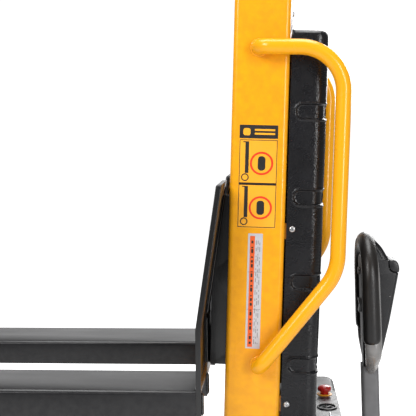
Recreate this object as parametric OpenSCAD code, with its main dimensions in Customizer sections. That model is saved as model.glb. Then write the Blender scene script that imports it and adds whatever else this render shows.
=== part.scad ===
// Walk-behind electric stacker: fork-over legs, raked single mast, side grab handles,
// moulded mast cover, powered steering wheel and a loop-handle tiller.
// +X points from the fork tips to the operator, +Y to the operator's right, +Z up.
// The origin is on the floor, at the centre of the footprint.

/* [Forks] */
// Length of each fork from heel to tip
fork_l = 1150; // [900:10:1400]
// Width of one fork
fork_w = 188; // [170:1:220]
// Depth of the fork's folded section
fork_h = 65; // [60:1:80]
// Plate thickness of the folded forks
fork_plate = 6; // [4:1:8]
// Clear gap between the two forks
fork_gap = 298; // [280:2:360]
// Height of the forks' top faces as stored
fork_z = 930; // [700:10:1200]
// Height of the forks' top faces when fully lowered
fork_low_z = 95; // [95:1:110]
// Height of the forks' top faces when fully raised
fork_high_z = 1600; // [1400:10:1650]

/* [Mast] */
// Backward rake of the mast in degrees
rake = 2.05; // [0:0.05:4]
// Overall height of the mast above the floor
mast_top_z = 2060; // [2020:10:2300]
// Front to back depth of each mast channel
mast_d = 133; // [120:1:150]
// Width over both mast channels
mast_w = 450; // [440:2:500]
// Plate thickness of the channels
mast_plate = 8; // [6:1:10]
// Reach of the channel flanges towards the middle
flange_reach = 55; // [50:1:60]
// Distance of the mast's front behind the fork heels, at fork height
mast_setback = 60; // [55:1:70]

/* [Handles] */
// Diameter of the side grab handles
handle_d = 36; // [30:1:40]
// Spacing of the two handles, centre to centre
handle_spacing = 534; // [520:2:560]
// Distance of the handle's upright run behind the mast's front
handle_back = 257; // [250:1:275]
// Height of the handle's top run above the stored forks
handle_top = 791; // [700:1:850]

/* [Mast cover] */
// Front to back depth of the moulded cover
cover_d = 86; // [80:1:95]
// Width of the moulded cover
cover_w = 430; // [410:2:438]
// Wall of the moulded cover
cover_wall = 6; // [5:1:8]
// Spacing of the grip pockets
pocket_pitch = 203; // [180:1:210]

/* [Chassis] */
// Ground clearance under the legs
leg_clear = 24; // [20:1:28]
// Width of each leg
leg_w = 150; // [120:1:155]
// Height of each leg's section
leg_h = 60; // [56:1:62]
// Width of the chassis
chassis_w = 660; // [640:2:670]
// Height of the chassis deck
deck_z = 330; // [320:2:360]
// Height of the top of the hood
hood_z = 790; // [700:10:800]

/* [Wheels] */
// Radius of the load rollers
load_r = 37; // [35:0.5:38]
// Radius of the drive wheel
drive_r = 105; // [95:1:110]
// Radius of the caster wheels
caster_r = 50; // [45:1:52]

/* [Tiller] */
// Height of the tiller's pivot
pivot_z = 400; // [395:1:410]
// Height of the top of the tiller's loop as parked
tiller_top_z = 1262; // [1200:1:1300]
// Forward lean of the parked tiller in degrees
tiller_lean = 1.7; // [0:0.1:3]
// Half the spacing of the two grips
grip_y = 100; // [95:1:110]
// Radius of the grips
grip_r = 22.5; // [20:0.5:24]

/* [Hidden] */

$fn = 48;
eps = 1;                      // overrun of a cutting tool
fit = 0.05;                   // radial running fit of a shaft in its bore
gap = 0.3;                    // clearance between neighbouring pieces

yellow = [1.0, 0.68, 0.12];
black = [0.10, 0.10, 0.11];
charcoal = [0.16, 0.16, 0.17];
steel = [0.62, 0.63, 0.65];
grey = [0.45, 0.44, 0.43];

// Plan layout: the fork tips are at the front and the chassis skirt at the back
steer_back = mast_d + 252;    // steering axis behind the mast's front
tail = 140;                   // skirt behind the steering axis
overall_l = fork_l + mast_setback + steer_back + tail;
tip_x = -overall_l / 2;
heel_x = tip_x + fork_l;
mast_x = heel_x + mast_setback;
steer_x = mast_x + steer_back;
tail_x = steer_x + tail;
fork_y = fork_gap / 2 + fork_w / 2;
fork_outer = fork_gap / 2 + fork_w;

// Lift travel, measured along the raked mast
lift_down = (fork_z - fork_low_z) / cos(rake);
lift_up = (fork_high_z - fork_z) / cos(rake);

// Chassis plates
plate = 8;
leg_top = leg_clear + leg_h;
base_x0 = mast_x - 50;
base_x1 = steer_x - 117;
skirt_x0 = mast_x + mast_d - (fork_z - deck_z) * tan(rake) + 4;
skirt_low = 60;
skirt_r = 60;

// Mast, in its own raked frame: x from the front face, z from the stored fork level
foot_z = -826;
cap_z = (mast_top_z - fork_z) / cos(rake);
cap_t = 8;
rail_x = mast_d / 2;          // centre of the roller track
track = mast_d - 2 * mast_plate;
roller_r = track / 2 - gap;
roller_w = 32;
roller_y = mast_w / 2 - mast_plate - 3 - roller_w / 2;
flange_y = mast_w / 2 - flange_reach;

// Carriage, in the raked frame
side_y1 = flange_y - 4;       // outer face of the carriage side plates
side_t = 14;
side_y0 = side_y1 - side_t;
side_front = -40;
side_low = 20;
side_high = 440;
lower_roller_z = 90;
upper_roller_z = 345;
roller_pin_r = 15;

// Apron, in world axes relative to the heel and the fork's top
apron_t = 12;
apron_bend_z = 142;
apron_top_z = 473;
apron_lean = 51;              // backward run of the apron's upper part

// Cylinder and chains, in the raked frame
barrel_r = 32;
barrel_bore = 27;
rod_r = 17.5;
barrel_top = 15;
gland_h = 30;
rod_exposed = 15;             // rod showing when fully lowered
head_z = barrel_top + gland_h + rod_exposed + lift_down / 2;
head_h = 60;
sheave_z = head_z + head_h / 2;
sheave_pin_r = 10;
sheave_r = 34.7;
chain_t = 10;
chain_w = 16;
chain_y = 55;
chain_r = sheave_r + gap + chain_t / 2;
anchor_z = 90;                // chain anchor on the carriage
rear_anchor_z = -58;          // chain anchor on the mast
piston_h = 30;
tie_x = mast_d - mast_plate;

// Mast cover
cover_x0 = mast_d + 4;
cover_x1 = cover_x0 + cover_d;
cover_low = -128;
cover_high = 836;
cover_r = 28;
pocket_h = 36;
pocket_depth = 4;
pocket_z0 = 32;
pocket_x = cover_x0 + 15;
tab_zs = [-60, 361, 797];
tab_t = 4;
tab_h = 38;
screw_x = cover_x0 + 14;
screw_r = 3;
screw_head_r = 7.5;
screen_t = 4;

// Handle, in the raked frame
handle_r = handle_d / 2;
handle_y = handle_spacing / 2;
handle_x0 = 61;
handle_foot = [80, 38];       // lower end on the mast's side
handle_slope = 0.75;          // backward run of the lower stretch for each unit of rise
handle_bend_z = handle_foot[1] + (handle_back - handle_foot[0]) / handle_slope;
handle_bends = [0, 26, 101, 120, 26, 0];

// Legs and load rollers
leg_plate = 6;
leg_x0 = tip_x + 67;
leg_x1 = mast_x + 100;
load_x = leg_x0 + 60;
load_w = 70;
load_axle_r = 10;

// Hood
hood_clear = 3;               // hood behind the raked mast, at the hood's top
hood_x0 = mast_x + mast_d / cos(rake) + (hood_z - fork_z) * tan(rake) + hood_clear;
hood_x1 = steer_x - 90;
hood_w = 644;
hood_wall = 4;
hood_r = 30;
panel_x = (mast_x + cover_x1 + hood_x1) / 2;
switch_y = 120;               // key and stop button either side of the middle
gauge_r = 24;
stop_r = 19;
stop_stem_r = 11;
key_r = 12;
socket_x = mast_x + cover_x1 - 8;
socket_z = 640;
socket_r = 22;

// Casters
caster_x = steer_x + 45;
caster_y = 235;
caster_trail = 25;
caster_w = 34;
caster_axle_r = 8;
kingpin_r = 10;
caster_plate_z = 150;
crown_z = 2 * caster_r + 8;

// Drive unit
drive_w = 75;
tyre_t = 20;
drive_axle_r = 20;
column_r = 70;
deck_hole_r = column_r + 6;
ring_rim = 17;
column_z = 222;
ring_h = 12;
motor_r = 50;
motor_h = 128;

// Tiller, in its own leaning frame: z along the arm from the pivot
pin_r = 8;
ear_y0 = motor_r + 2.5;
ear_t = 9.5;
yoke_y0 = ear_y0 + ear_t + 1;
yoke_t = 12;
bridge_z = 97;
arm_x = 44;
arm_y = 56;
tiller_l = (tiller_top_z - pivot_z) / cos(tiller_lean);
arch_z = tiller_l - grip_r - grip_y;
grip_low = arch_z - 158;
core_r = 19;
loop_bend = 40;
knee_drop = 180;              // from the arch's centre down to where the legs turn in
pod_y = 42;
pod_z = tiller_l - 352.4;     // lower end of the pod
pod_front = -18;
throttle_x = 8;
throttle_z = 200;             // heights above the pod's lower end
rocker_x = -14;
rocker_z = 160;
horn_z = 250;
belly_z = 265;

// Frames

module on_mast() translate([mast_x, 0, fork_z]) rotate([0, rake, 0]) children();
module on_steer() translate([steer_x, 0, 0]) children();
module on_tiller() translate([steer_x, 0, pivot_z]) rotate([0, -tiller_lean, 0]) children();
module both_sides() for (s = [0, 1]) mirror([0, s, 0]) children();
module right_side() mirror([0, 1, 0]) children();

// Shapes

module box(x0, x1, y0, y1, z0, z1) translate([x0, y0, z0]) cube([x1 - x0, y1 - y0, z1 - z0]);

module rod_y(x, z, y0, y1, r) translate([x, y0, z]) rotate([-90, 0, 0]) cylinder(h = y1 - y0, r = r);

module rod_x(y, z, x0, x1, r) translate([x0, y, z]) rotate([0, 90, 0]) cylinder(h = x1 - x0, r = r);

module round_rect(x0, x1, y0, y1, r) {
  translate([x0 + r, y0]) square([x1 - x0 - 2 * r, y1 - y0]);
  translate([x0, y0 + r]) square([x1 - x0, y1 - y0 - 2 * r]);
  for (x = [x0 + r, x1 - r], y = [y0 + r, y1 - r]) translate([x, y]) circle(r);
}

// Outline in x and z, given thickness from y0 to y1
module profile_y(y0, y1, points)
  translate([0, y1, 0]) rotate([90, 0, 0]) linear_extrude(y1 - y0) polygon(points);

function unit(v) = v / norm(v);
function turn(a, b, c) = acos(unit(b - a) * unit(c - b));
function frame_at(x, y, o) = let (z = cross(x, y))
  [[x[0], y[0], z[0], o[0]], [x[1], y[1], z[1], o[1]], [x[2], y[2], z[2], o[2]], [0, 0, 0, 1]];

// Round bar along straight runs, with a circular bend at each inner point
module bent_bar(points, bends, r) {
  last = len(points) - 1;
  trims = [for (i = [0:last]) (i == 0 || i == last) ? 0
    : bends[i] * tan(turn(points[i - 1], points[i], points[i + 1]) / 2)];
  for (i = [0:last - 1]) {
    d = unit(points[i + 1] - points[i]);
    a = points[i] + d * trims[i];
    b = points[i + 1] - d * trims[i + 1];
    side = unit(cross(d, abs(d[1]) > 0.9 ? [1, 0, 0] : [0, 1, 0]));
    if (norm(b - a) > 0.01)
      multmatrix(frame_at(side, cross(d, side), a)) cylinder(h = norm(b - a), r = r);
  }
  for (i = [1:last - 1]) {
    d = unit(points[i] - points[i - 1]);
    e = unit(points[i + 1] - points[i]);
    inward = unit(e - d * (d * e));
    start = points[i] - d * trims[i];
    multmatrix(frame_at(-inward, d, start + inward * bends[i]))
      rotate_extrude(angle = turn(points[i - 1], points[i], points[i + 1]))
        translate([bends[i], 0]) circle(r);
  }
}

// Chassis

module skirt_outline(inset)
  round_rect(skirt_x0 - skirt_r, tail_x - inset, -chassis_w / 2 + inset, chassis_w / 2 - inset,
    skirt_r - inset);

module mast_foot() {
  lip = 5;
  low = leg_top + plate;
  x0 = mast_x + foot_z * sin(rake) - lip;
  x1 = mast_x + foot_z * sin(rake) + mast_d + lip;
  top = fork_z + foot_z * cos(rake);
  profile_y(-mast_w / 2 - lip, mast_w / 2 + lip, [[x0, low], [x1, low],
    [x1, top - (mast_d + lip) * tan(rake)], [x0, top + lip * tan(rake)]]);
}

module chassis_frame() {
  color(yellow) {
    difference() {
      translate([0, 0, skirt_low]) linear_extrude(deck_z - skirt_low) skirt_outline(0);
      translate([0, 0, skirt_low - eps])
        linear_extrude(deck_z - plate - skirt_low + eps) skirt_outline(plate);
      box(skirt_x0 - 2 * skirt_r, skirt_x0, -chassis_w, chassis_w, 0, deck_z + eps);
      box(skirt_x0 - eps, leg_x1 + gap, -chassis_w, chassis_w, 0, leg_top);
      translate([steer_x, 0, deck_z - plate - eps]) cylinder(h = plate + 2 * eps, r = deck_hole_r);
    }
    box(base_x0, base_x1, -chassis_w / 2 + plate, chassis_w / 2 - plate, leg_top, leg_top + plate);
    mast_foot();
    for (s = [-1, 1]) difference() {
      inner = caster_y - 50;
      y0 = min(s * inner, s * (chassis_w / 2 - plate));
      y1 = max(s * inner, s * (chassis_w / 2 - plate));
      box(caster_x - 45, tail_x - skirt_r, y0, y1, caster_plate_z, caster_plate_z + plate);
      translate([caster_x, s * caster_y, caster_plate_z - eps])
        cylinder(h = plate + 2 * eps, r = kingpin_r + fit);
    }
  }
}

module leg() color(black) {
  y0 = fork_y - leg_w / 2;
  y1 = fork_y + leg_w / 2;
  nose = 40;
  difference() {
    translate([0, 0, leg_clear]) linear_extrude(leg_h) round_rect(leg_x0, leg_x1, y0, y1, nose / 2);
    box(leg_x0 + leg_plate, leg_x1 + eps, y0 + leg_plate, y1 - leg_plate, leg_clear - eps,
      leg_top - leg_plate);
    rod_y(load_x, load_r, y0 - eps, y1 + eps, load_axle_r + fit);
  }
}
module right_leg() leg();
module left_leg() right_side() leg();

module load_roller_axles() color(steel) both_sides()
  rod_y(load_x, load_r, fork_y - leg_w / 2 + 1, fork_y + leg_w / 2 - 1, load_axle_r);

module load_roller() color(charcoal) difference() {
  rod_y(load_x, load_r, fork_y - load_w / 2, fork_y + load_w / 2, load_r);
  rod_y(load_x, load_r, fork_y - load_w, fork_y + load_w, load_axle_r + fit);
}
module right_load_roller() load_roller();
module left_load_roller() right_side() load_roller();

// Mast

module mast_channel() color(yellow) on_mast() {
  y0 = flange_y;
  y1 = mast_w / 2;
  bend = 12;
  translate([0, 0, foot_z]) linear_extrude(cap_z - cap_t - foot_z) difference() {
    round_rect(0, mast_d, y0 - bend, y1, bend);
    round_rect(mast_plate, mast_d - mast_plate, y0 - 2 * bend, y1 - mast_plate, bend - mast_plate);
    translate([-eps, y0 - 2 * bend]) square([mast_d + 2 * eps, 2 * bend]);
  }
}
module right_mast_channel() mast_channel();
module left_mast_channel() right_side() mast_channel();

module mast_top_plate() color(yellow) on_mast()
  translate([0, 0, cap_z - cap_t]) linear_extrude(cap_t)
    round_rect(0, mast_d, -mast_w / 2, mast_w / 2, 12);

module mast_ties() color(yellow) on_mast() {
  for (span = [[foot_z, foot_z + 120], [-120, -20], [cap_z - cap_t - 90, cap_z - cap_t]])
    box(tie_x, mast_d, -flange_y, flange_y, span[0], span[1]);
  both_sides() box(rail_x + chain_r - 12, tie_x, chain_y - 12, chain_y + 12,
    rear_anchor_z - 12, rear_anchor_z);
  box(rail_x + barrel_r + gap, tie_x, -20, 20, -105, -85);
}

module handle(s) color(yellow) on_mast()
  bent_bar([
    [handle_x0, s * mast_w / 2, handle_top], [handle_x0, s * handle_y, handle_top],
    [handle_back, s * handle_y, handle_top], [handle_back, s * handle_y, handle_bend_z],
    [handle_foot[0], s * handle_y, handle_foot[1]], [handle_foot[0], s * mast_w / 2, handle_foot[1]]],
    handle_bends, handle_r);
module right_handle() handle(1);
module left_handle() handle(-1);

module mast_cover() color(charcoal) on_mast() {
  half = cover_w / 2;
  difference() {
    translate([0, 0, cover_low]) linear_extrude(cover_high - cover_low) difference() {
      round_rect(cover_x0 - cover_r, cover_x1, -half, half, cover_r);
      translate([cover_x0 - cover_r - eps, -half - eps]) square([cover_r + eps, cover_w + 2 * eps]);
    }
    translate([0, 0, cover_low - eps]) linear_extrude(cover_high - cover_low - cover_wall + eps)
      round_rect(cover_x0 - cover_r, cover_x1 - cover_wall, -half + cover_wall, half - cover_wall,
        cover_r - cover_wall);
    for (k = [0:3]) translate([0, 0, pocket_z0 + k * pocket_pitch - pocket_h / 2])
      linear_extrude(pocket_h) difference() {
        translate([pocket_x, -half - eps]) square([cover_d, cover_w + 2 * eps]);
        round_rect(cover_x0 - cover_r, cover_x1 - pocket_depth, -half + pocket_depth,
          half - pocket_depth, cover_r - pocket_depth);
        translate([0, -half + 50]) square([cover_x1 * 2, cover_w - 100]);
      }
    for (z = tab_zs) rod_y(screw_x, z, -half - eps, half + eps, screw_r + fit);
  }
}

module cover_tabs() color(yellow) on_mast() both_sides() for (z = tab_zs) {
  y1 = cover_w / 2 - cover_wall - gap;
  difference() {
    box(mast_d, screw_x + 14, y1 - tab_t, y1, z - tab_h / 2, z + tab_h / 2);
    rod_y(screw_x, z, y1 - tab_t - eps, y1 + eps, screw_r + fit);
  }
}

module cover_screws() color(steel) on_mast() both_sides() {
  for (z = tab_zs) {
    rod_y(screw_x, z, cover_w / 2 - 20, cover_w / 2, screw_r);
    rod_y(screw_x, z, cover_w / 2, cover_w / 2 + 4, screw_head_r);
  }
  for (z = [cover_high + 40, cap_z - 40])
    rod_x(flange_y + 12, z, mast_d + screen_t, mast_d + screen_t + 3, screw_head_r);
}

module mast_screen() color([0.8, 0.85, 0.9, 0.35]) on_mast() {
  half = flange_y + 30;
  box(mast_d + gap, mast_d + screen_t, -half, half, cover_high + 10, cap_z - 10);
}

// Hood and what it covers

module hood() color(charcoal) difference() {
  translate([0, 0, deck_z]) linear_extrude(hood_z - deck_z)
    round_rect(hood_x0, hood_x1, -hood_w / 2, hood_w / 2, hood_r);
  translate([0, 0, deck_z - eps]) linear_extrude(hood_z - deck_z - hood_wall + eps)
    round_rect(hood_x0 + hood_wall, hood_x1 - hood_wall, -hood_w / 2 + hood_wall,
      hood_w / 2 - hood_wall, hood_r - hood_wall);
  translate([panel_x, 0, hood_z - 10]) cylinder(h = 20, r = gauge_r);
  translate([panel_x, -switch_y, hood_z - 10]) cylinder(h = 20, r = key_r + fit);
  translate([panel_x, switch_y, hood_z - 10]) cylinder(h = 20, r = stop_stem_r + fit);
  rod_y(socket_x, socket_z, -hood_w, -hood_w / 2 + 10, socket_r);
}

module charge_gauge() color(black) {
  translate([panel_x, 0, hood_z - 30]) cylinder(h = 30, r = gauge_r - fit);
  translate([panel_x, 0, hood_z]) cylinder(h = 3, r = gauge_r + 3);
}

module key_switch() color(steel) {
  bow_t = 2.4;
  bow_w = 20;
  translate([panel_x, -switch_y, hood_z - 20]) cylinder(h = 23, r = key_r);
  box(panel_x - bow_t / 2, panel_x + bow_t / 2, -switch_y - bow_w / 2, -switch_y + bow_w / 2,
    hood_z + 3, hood_z + 26);
}

module stop_button() color("red") {
  translate([panel_x, switch_y, hood_z - 25]) cylinder(h = 45, r = stop_stem_r);
  translate([panel_x, switch_y, hood_z + 12]) cylinder(h = 14, r = stop_r);
}

module charger_socket() color(grey) {
  side = -hood_w / 2;
  difference() {
    union() {
      rod_y(socket_x, socket_z, side - 4, side, socket_r + 5);
      rod_y(socket_x, socket_z, side, side + 28, socket_r - fit);
    }
    rod_y(socket_x, socket_z, side - 5, side + 18, socket_r - 6);
  }
}

module battery() color(charcoal) {
  z0 = leg_top + plate;
  for (y = [-262, 2]) {
    box(skirt_x0 + 6, base_x1 - 6, y, y + 260, z0, z0 + 200);
    for (t = [50, 210]) translate([skirt_x0 + 60, y + t, z0 + 200]) cylinder(h = 14, r = 9);
  }
}

module pump_motor() color(steel) {
  rod_y(hood_x0 + 70, deck_z + 65, -250, -70, 55);
  box(hood_x0 + 30, hood_x0 + 110, -230, -90, deck_z, deck_z + 30);
}

module oil_tank() color(grey) {
  box(hood_x0 + 20, hood_x0 + 120, 0, 260, deck_z, deck_z + 150);
  box(hood_x0 + 35, hood_x0 + 105, -69, 0, deck_z, deck_z + 100);
  translate([hood_x0 + 70, 200, deck_z + 150]) cylinder(h = 20, r = 20);
}

module motor_controller() color(black) {
  box(hood_x0 + 8, hood_x0 + 60, -140, 140, deck_z + 190, deck_z + 350);
  for (s = [-1, 1])
    box(hood_x0 + hood_wall, hood_x0 + 8, s * 100 - 12, s * 100 + 12, deck_z + 200, deck_z + 340);
}

// Lift cylinder and chains

module lift_barrel() color(black) on_mast() translate([rail_x, 0, 0]) difference() {
  translate([0, 0, foot_z]) cylinder(h = barrel_top - foot_z, r = barrel_r);
  translate([0, 0, foot_z + 15]) cylinder(h = barrel_top - foot_z, r = barrel_bore);
}

module cylinder_gland() color(steel) on_mast() translate([rail_x, 0, barrel_top]) difference() {
  cylinder(h = gland_h, r = barrel_r + 2);
  translate([0, 0, -eps]) cylinder(h = gland_h + 2 * eps, r = rod_r + fit);
}

module lift_rod() color(steel) on_mast() translate([rail_x, 0, 0]) {
  low = foot_z + 15 + 5 + lift_down / 2;
  translate([0, 0, low]) cylinder(h = piston_h, r = barrel_bore - fit);
  translate([0, 0, low]) cylinder(h = head_z - low, r = rod_r);
}

module crosshead() color(black) on_mast() difference() {
  box(rail_x - 24, rail_x + 24, -42, 42, head_z, head_z + head_h);
  rod_y(rail_x, sheave_z, -43, 43, sheave_pin_r + fit);
}

module sheave_pin() color(steel) on_mast() {
  rod_y(rail_x, sheave_z, -70, 70, sheave_pin_r);
  both_sides() rod_y(rail_x, sheave_z, chain_y + 11, chain_y + 14, sheave_pin_r + 6);
}

module chain_sheaves() color(steel) on_mast() both_sides()
  translate([rail_x, chain_y, sheave_z]) rotate([90, 0, 0]) rotate_extrude() difference() {
    translate([sheave_pin_r + fit, -10]) square([chain_r + 4 - sheave_pin_r, 20]);
    translate([sheave_r, -chain_w / 2 - gap]) square([30, chain_w + 2 * gap]);
  }

module chain_wraps() color(grey) on_mast() both_sides()
  translate([rail_x, chain_y, sheave_z]) rotate([90, 0, 0]) rotate_extrude(angle = 180)
    translate([chain_r - chain_t / 2, -chain_w / 2]) square([chain_t, chain_w]);

module strand(x, z0, z1) both_sides()
  box(x - chain_t / 2, x + chain_t / 2, chain_y - chain_w / 2, chain_y + chain_w / 2, z0, z1);

module front_chains() color(grey) on_mast() strand(rail_x - chain_r, anchor_z, sheave_z);
module rear_chains() color(grey) on_mast() strand(rail_x + chain_r, rear_anchor_z, sheave_z);

// Carriage and forks

// Everything in front of the apron's rear face
module apron_side(front) {
  x0 = heel_x + front;
  profile_y(-fork_outer - eps, fork_outer + eps, [
    [x0, fork_z - 2 * fork_h], [x0, fork_z + apron_bend_z], [x0 + apron_lean, fork_z + apron_top_z],
    [x0 + apron_lean, fork_z + 2 * apron_top_z], [heel_x - 100, fork_z + 2 * apron_top_z],
    [heel_x - 100, fork_z - 2 * fork_h]]);
}

module apron() color(black) difference() {
  x1 = heel_x + apron_t;
  profile_y(-fork_outer, fork_outer, [
    [heel_x, fork_z - fork_h], [x1, fork_z - fork_h], [x1, fork_z + apron_bend_z],
    [x1 + apron_lean, fork_z + apron_top_z], [heel_x + apron_lean, fork_z + apron_top_z],
    [heel_x, fork_z + apron_bend_z]]);
  both_sides() box(heel_x - eps, x1 + eps, fork_gap / 2 + fork_plate, fork_outer - fork_plate,
    fork_z - 2 * fork_h, fork_z - fork_plate);
  box(heel_x - eps, x1 + eps, -fork_gap / 2 + fork_plate, fork_gap / 2 - fork_plate,
    fork_z - 2 * fork_h, fork_z - 20);
  translate([heel_x - 50, 0, 0]) rotate([90, 0, 90]) linear_extrude(200)
    round_rect(-90, 90, fork_z + 200, fork_z + 2 * apron_top_z, 40);
}

module carriage_frame() color(black) difference() {
  union() {
    on_mast() difference() {
      both_sides() box(side_front, mast_d - 33, side_y0, side_y1, side_low, side_high);
      for (z = [lower_roller_z, upper_roller_z])
        rod_y(rail_x, z, -side_y1 - eps, side_y1 + eps, roller_pin_r + fit);
    }
    on_mast() box(side_front - 20, side_front + 14, -side_y0, side_y0, side_low, anchor_z);
    on_mast() box(side_front + 10, side_front + 22, -side_y0, side_y0, side_high - 90, side_high - 10);
    on_mast() both_sides() box(side_front, rail_x - chain_r + 12, chain_y - 12, chain_y + 12,
      anchor_z - 12, anchor_z);
  }
  apron_side(apron_t);
}

module fork() color(black) {
  y0 = fork_gap / 2;
  y1 = fork_outer;
  r = 10;
  nose_r = 70;
  difference() {
    intersection() {
      translate([tip_x, 0, 0]) rotate([90, 0, 90]) linear_extrude(fork_l) difference() {
        round_rect(y0, y1, fork_z - fork_h - 2 * r, fork_z, r);
        translate([y0 - eps, fork_z - fork_h - 3 * r]) square([fork_w + 2 * eps, 3 * r]);
      }
      translate([0, 0, fork_z - 2 * fork_h]) linear_extrude(3 * fork_h)
        round_rect(tip_x, heel_x + nose_r, y0, y1, nose_r);
    }
    translate([0, 0, fork_z - 2 * fork_h]) linear_extrude(2 * fork_h - fork_plate)
      round_rect(tip_x + fork_plate, heel_x + nose_r, y0 + fork_plate, y1 - fork_plate,
        nose_r - fork_plate);
  }
}
module right_fork() fork();
module left_fork() right_side() fork();

module roller_pins() color(steel) on_mast() both_sides() for (z = [lower_roller_z, upper_roller_z]) {
  rod_y(rail_x, z, side_y0 - 6, roller_y + roller_w / 2, roller_pin_r);
  rod_y(rail_x, z, side_y1 + gap, roller_y - roller_w / 2 - gap, roller_pin_r + 7);
}

module roller(z) color(steel) on_mast() both_sides() difference() {
  rod_y(rail_x, z, roller_y - roller_w / 2, roller_y + roller_w / 2, roller_r);
  rod_y(rail_x, z, roller_y - roller_w, roller_y + roller_w, roller_pin_r + fit);
}
module upper_rollers() roller(upper_roller_z);
module lower_rollers() roller(lower_roller_z);

// Casters

module caster_fork() color(black) translate([caster_x, caster_y, 0]) {
  arm_y0 = caster_w / 2 + 2;
  arm_t = 5;
  translate([0, 0, crown_z]) cylinder(h = 8, r = 32);
  translate([0, 0, crown_z]) cylinder(h = caster_plate_z + plate + 4 - crown_z, r = kingpin_r);
  for (s = [-1, 1]) {
    y0 = min(s * arm_y0, s * (arm_y0 + arm_t));
    profile_y(y0, y0 + arm_t, [[-18, crown_z + 8], [18, crown_z + 8],
      [caster_trail + 14, caster_r - 8], [caster_trail - 14, caster_r - 12]]);
  }
  box(-18, 18, -arm_y0 - arm_t, arm_y0 + arm_t, crown_z, crown_z + 8);
  rod_y(caster_trail, caster_r, -arm_y0 - arm_t - 2, arm_y0 + arm_t + 2, caster_axle_r);
}

module caster_wheel() color(charcoal) translate([caster_x + caster_trail, caster_y, caster_r])
  rotate([90, 0, 0]) rotate_extrude() difference() {
    translate([caster_axle_r + fit, -caster_w / 2]) square([caster_r - caster_axle_r - fit, caster_w]);
    for (s = [-1, 1]) translate([caster_r * 0.52, s * caster_w / 2]) circle(8);
  }
module right_caster_fork() caster_fork();
module left_caster_fork() right_side() caster_fork();
module right_caster_wheel() caster_wheel();
module left_caster_wheel() right_side() caster_wheel();

// Drive unit

module drive_gearbox() color(grey) on_steer() {
  leg_y = drive_w / 2 + 4;
  rod_y(0, drive_r, leg_y, leg_y + 42, 60);
  box(-45, 45, leg_y, leg_y + 42, drive_r, column_z + 10);
  translate([0, 0, column_z]) cylinder(h = deck_z + ring_h - column_z, r = column_r);
  rod_y(0, drive_r, -drive_w / 2 + 8, leg_y, drive_axle_r);
}

module steer_ring() color(steel) on_steer() translate([0, 0, deck_z]) difference() {
  cylinder(h = ring_h - 2, r = column_r + ring_rim);
  translate([0, 0, -eps]) cylinder(h = ring_h + eps, r = column_r + fit);
}

module drive_motor() color(black) on_steer() translate([0, 0, deck_z + ring_h]) {
  cylinder(h = motor_h - 14, r = motor_r);
  cylinder(h = motor_h, r = motor_r - 8);
}

module drive_hub() color(steel) on_steer() difference() {
  rod_y(0, drive_r, -drive_w / 2, drive_w / 2, drive_r - tyre_t);
  rod_y(0, drive_r, -drive_w, drive_w, drive_axle_r + fit);
  for (a = [0:60:300]) translate([45 * cos(a), 0, drive_r + 45 * sin(a)])
    rod_y(0, 0, -drive_w / 2 - eps, -drive_w / 2 + 20, 14);
}

module drive_tyre() color(charcoal) on_steer() difference() {
  rod_y(0, drive_r, -drive_w / 2, drive_w / 2, drive_r);
  rod_y(0, drive_r, -drive_w, drive_w, drive_r - tyre_t);
}

// Round-ended lug around a pivot at height z, reaching to another height
module lug(y0, t, r, z, reach) {
  rod_y(0, z, y0, y0 + t, r);
  box(-r, r, y0, y0 + t, min(z, reach), max(z, reach));
}

module tiller_base() color(grey) on_steer() {
  low = deck_z + ring_h;
  translate([0, 0, low]) difference() {
    cylinder(h = 8, r = column_r - 2);
    translate([0, 0, -eps]) cylinder(h = 10, r = motor_r + gap);
  }
  both_sides() difference() {
    lug(ear_y0, ear_t, 20, pivot_z, low + 8);
    rod_y(0, pivot_z, ear_y0 - eps, ear_y0 + ear_t + eps, pin_r + fit);
  }
}

module pivot_pins() color(steel) on_steer() both_sides()
  rod_y(0, pivot_z, ear_y0 - 1.5, yoke_y0 + yoke_t + 3, pin_r);

// Tiller

module tiller_arm() color(grey) on_tiller() {
  bridge_t = 25;
  both_sides() difference() {
    lug(yoke_y0, yoke_t, 20, 0, bridge_z + bridge_t);
    rod_y(0, 0, yoke_y0 - eps, yoke_y0 + yoke_t + eps, pin_r + fit);
  }
  box(-20, 20, -yoke_y0 - 1, yoke_y0 + 1, bridge_z, bridge_z + bridge_t);
  translate([0, 0, bridge_z + bridge_t]) linear_extrude(pod_z - bridge_z - bridge_t)
    round_rect(-arm_x / 2, arm_x / 2, -arm_y / 2, arm_y / 2, 10);
}

module head_loop() color(grey) on_tiller() translate([0, 0, arch_z]) difference() {
  bent_bar([
    [0, grip_y - 80, -knee_drop - 60], [0, grip_y, -knee_drop], [0, grip_y, grip_y],
    [0, -grip_y, grip_y], [0, -grip_y, -knee_drop], [0, 80 - grip_y, -knee_drop - 60]],
    [0, loop_bend, grip_y, grip_y, loop_bend, 0], core_r);
  box(-core_r - eps, core_r + eps, -pod_y, pod_y, -2 * knee_drop, loop_bend - knee_drop);
}

module grips() color(black) on_tiller() both_sides() translate([0, grip_y, grip_low]) difference() {
  cylinder(h = arch_z - grip_low, r = grip_r);
  translate([0, 0, -eps]) cylinder(h = arch_z, r = core_r + fit);
}

module on_pod() on_tiller() translate([0, 0, pod_z]) children();

module head_pod() color(charcoal) on_pod() difference() {
  profile_y(-pod_y, pod_y, [
    [pod_front, 0], [26, 0], [54, 118], [83, belly_z - 20], [52, belly_z - 20],
    [52, belly_z + 18], [57, belly_z + 18], [30, 326], [24, 326], [24, 292], [pod_front, 292]]);
  rod_y(throttle_x, throttle_z, -pod_y - eps, pod_y + eps, 6 + fit);
  box(pod_front - eps, -4, -14.5, 14.5, rocker_z - 19, rocker_z + 19);
  rod_y(rocker_x, rocker_z, -18, 18, 2 + fit);
  rod_x(0, horn_z, pod_front - eps, -4, 10 + fit);
  rod_x(0, belly_z, 20, 60, 6 + fit);
}

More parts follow.
